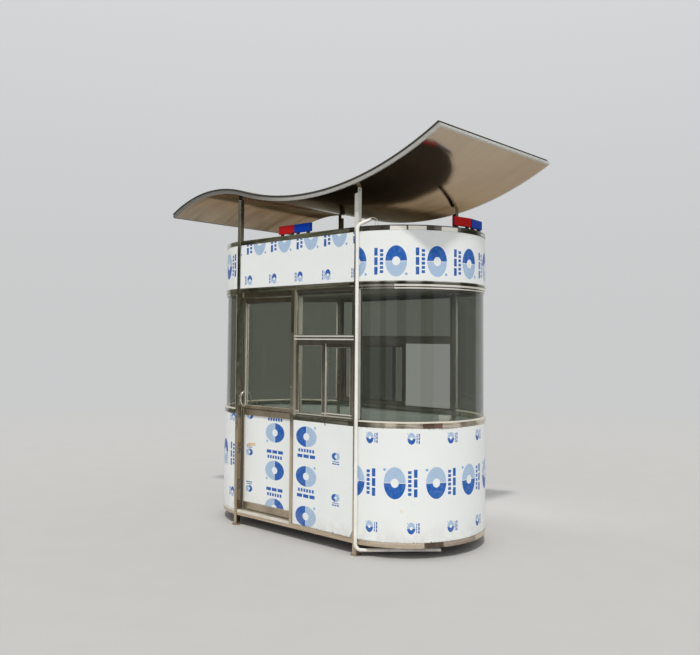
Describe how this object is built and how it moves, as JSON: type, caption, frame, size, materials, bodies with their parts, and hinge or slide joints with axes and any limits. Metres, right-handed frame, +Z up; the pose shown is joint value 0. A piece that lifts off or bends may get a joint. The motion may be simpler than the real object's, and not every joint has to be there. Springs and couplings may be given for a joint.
{
  "type": "security guard booth",
  "caption": "Steel guard cabin with straight sides and curved glass ends, a sliding door, sliding windows and a wave-shaped canopy carried on tall corner posts",
  "frame": {"origin": "centre of the bounding box in plan, on the ground under the foot flanges", "axes": "+X to the right along the front wall, +Y from the front with the door to the back, +Z up"},
  "size_m": [3.1621, 1.56, 3.1505],
  "materials": {
    "stainless": "polished stainless steel tube with fine lengthwise grain",
    "mirror_sheet": "mirror-polished stainless steel sheet",
    "filmed_panel": "stainless steel panel under a printed protective film",
    "end_glass": "clear bent glass",
    "pane_glass": "clear flat glass",
    "window_aluminium": "satin anodised aluminium section",
    "door_aluminium": "satin anodised aluminium section",
    "trim_aluminium": "ribbed aluminium edge section",
    "floor_sheet": "grey floor sheet",
    "frame_steel": "grey primed steel",
    "ceiling_sheet": "white sheet",
    "roof_sheet": "dark weathered sheet",
    "dark_plastic": "black moulded plastic",
    "red_lens": "clear red plastic lens",
    "blue_lens": "clear blue plastic lens",
    "white_pvc": "white rigid plastic"
  },
  "bodies": {
    "booth": {"foot_flanges": "stainless", "front_posts": "stainless", "back_posts": "stainless", "bottom_rail": "stainless", "sill_rail": "stainless", "head_rail": "stainless", "top_rail": "stainless", "floor_plate": "floor_sheet", "floor_joists": "frame_steel", "ceiling_panel": "ceiling_sheet", "roof_deck": "roof_sheet", "fascia_front": "filmed_panel", "fascia_back": "filmed_panel", "fascia_left": "filmed_panel", "fascia_right": "filmed_panel", "lower_panel_front": "filmed_panel", "lower_panel_back": "filmed_panel", "lower_panel_left": "filmed_panel", "lower_panel_right": "filmed_panel", "glazing_frames": "stainless", "end_glass_left": "end_glass", "end_glass_right": "end_glass", "mullion": "stainless", "front_window_frame": "window_aluminium", "back_window_frame": "window_aluminium", "front_sashes": "window_aluminium", "back_sashes": "window_aluminium", "upper_panes": "pane_glass", "sash_panes": "pane_glass", "door_track": "door_aluminium", "door_threshold": "door_aluminium", "canopy_panel": "mirror_sheet", "canopy_edge_trim": "trim_aluminium", "light_bases": "dark_plastic", "light_lenses_red": "red_lens", "light_lenses_blue": "blue_lens", "conduit": "white_pvc", "conduit_clips": "white_pvc", "roof_wires": "white_pvc", "socket_box": "white_pvc"},
    "door": {"door_frame": "door_aluminium", "door_pane": "pane_glass", "door_panel": "filmed_panel", "door_pull": "stainless", "door_hangers": "frame_steel"}
  },
  "joints": [
    {"name": "door_slide", "type": "slide", "parent": "booth", "child": "door", "axis": [1, 0, 0], "range_m": [0, 0.6]}
  ]
}
